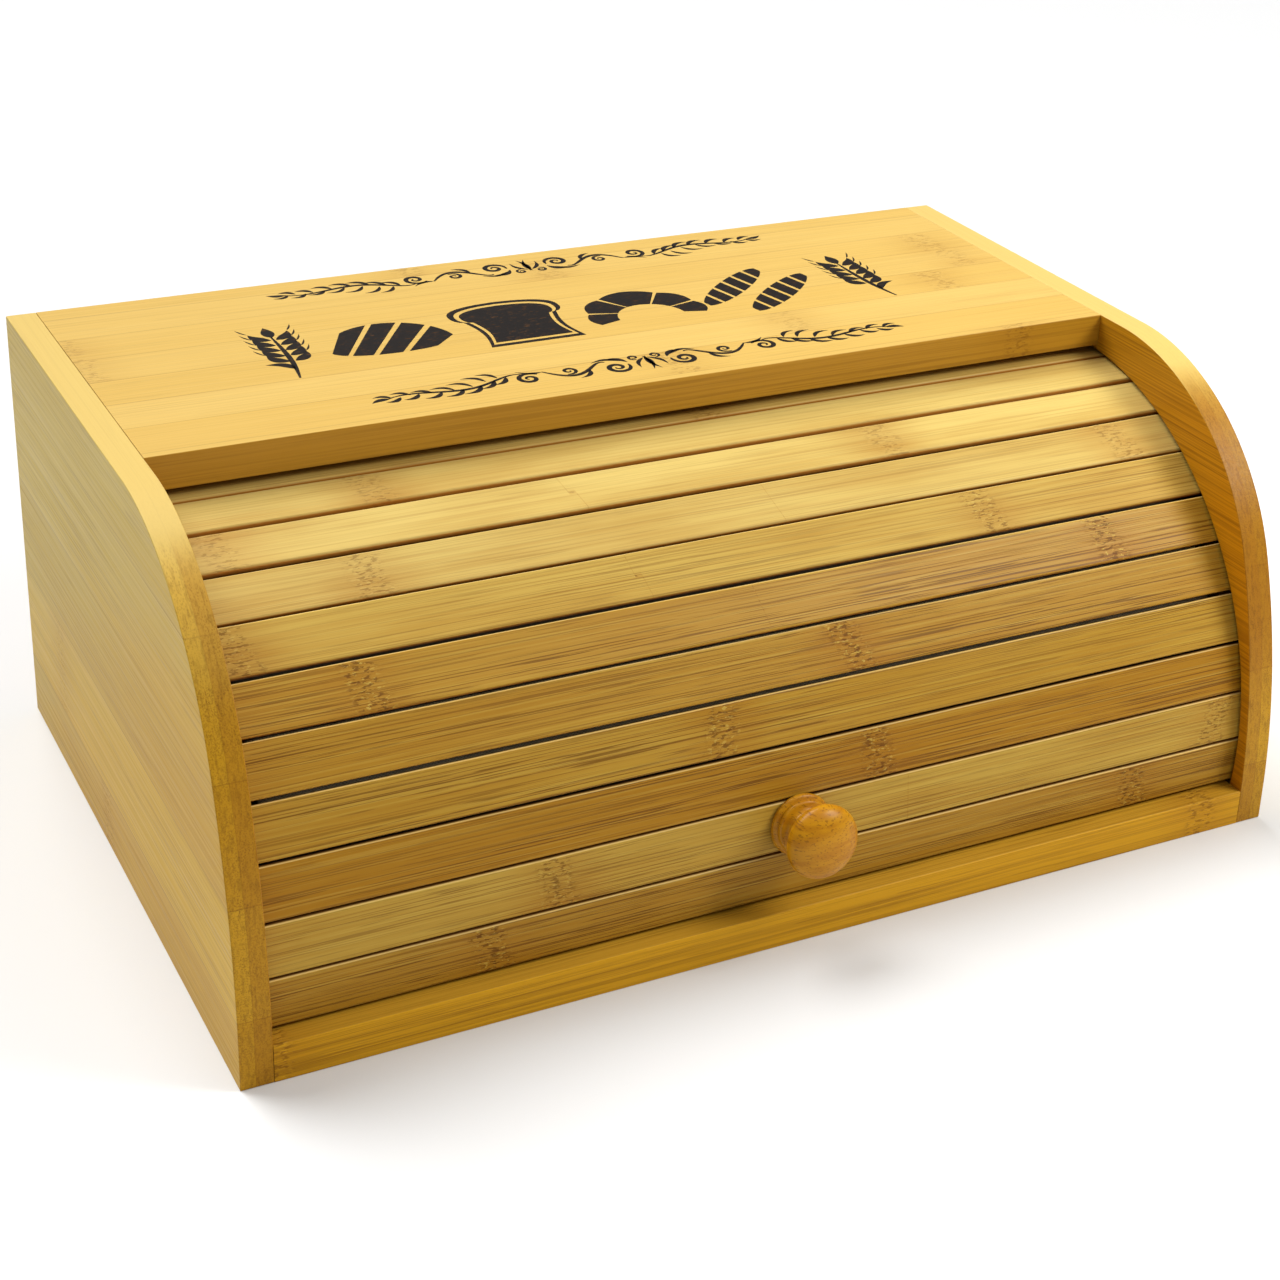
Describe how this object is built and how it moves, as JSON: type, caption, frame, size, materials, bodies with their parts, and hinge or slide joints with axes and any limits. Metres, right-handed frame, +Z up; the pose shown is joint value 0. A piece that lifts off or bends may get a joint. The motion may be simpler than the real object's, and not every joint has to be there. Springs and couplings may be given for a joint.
{
  "type": "bread box with roll top",
  "caption": "Low bamboo bread box whose slatted front door rolls up and back on a round groove in the side panels, opened by a turned knob.",
  "frame": {"origin": "middle of the cabinet's footprint, on the surface that the box stands on", "axes": "+X to the right along the box's width, -Y to the front where the door and its knob are, +Z up"},
  "size_m": [0.4, 0.279, 0.165],
  "materials": {
    "board_bamboo": "satin lacquered bamboo strips, honey yellow",
    "side_bamboo": "satin lacquered laminated bamboo, olive gold",
    "slat_bamboo": "satin lacquered bamboo slats with darker nodes",
    "knob_wood": "turned hardwood, orange gold lacquer",
    "dowel_wood": "plain beech, unfinished",
    "backing_cloth": "plain woven cotton, undyed",
    "steel": "zinc plated steel"
  },
  "bodies": {
    "cabinet": {"side_panel_left": "side_bamboo", "side_panel_right": "side_bamboo", "top_panel": "board_bamboo", "bottom_panel": "board_bamboo", "back_panel": "board_bamboo", "top_dowel_left_1": "dowel_wood", "top_dowel_left_2": "dowel_wood", "top_dowel_left_3": "dowel_wood", "top_dowel_right_1": "dowel_wood", "top_dowel_right_2": "dowel_wood", "top_dowel_right_3": "dowel_wood", "bottom_dowel_left_1": "dowel_wood", "bottom_dowel_left_2": "dowel_wood", "bottom_dowel_left_3": "dowel_wood", "bottom_dowel_right_1": "dowel_wood", "bottom_dowel_right_2": "dowel_wood", "bottom_dowel_right_3": "dowel_wood"},
    "door": {"door_slat_01": "slat_bamboo", "door_slat_02": "slat_bamboo", "door_slat_03": "slat_bamboo", "door_slat_04": "slat_bamboo", "door_slat_05": "slat_bamboo", "door_slat_06": "slat_bamboo", "door_slat_07": "slat_bamboo", "door_slat_08": "slat_bamboo", "door_slat_09": "slat_bamboo", "door_slat_10": "slat_bamboo", "door_slat_11": "slat_bamboo", "door_slat_12": "slat_bamboo", "door_backing_cloth": "backing_cloth", "knob": "knob_wood", "knob_washer": "steel", "knob_screw": "steel"}
  },
  "joints": [
    {"name": "roll_door", "type": "hinge", "parent": "cabinet", "child": "door", "pos_m": [0, -0.005, 0.0295], "axis": [-1, 0, 0], "range_deg": [0, 72]}
  ]
}
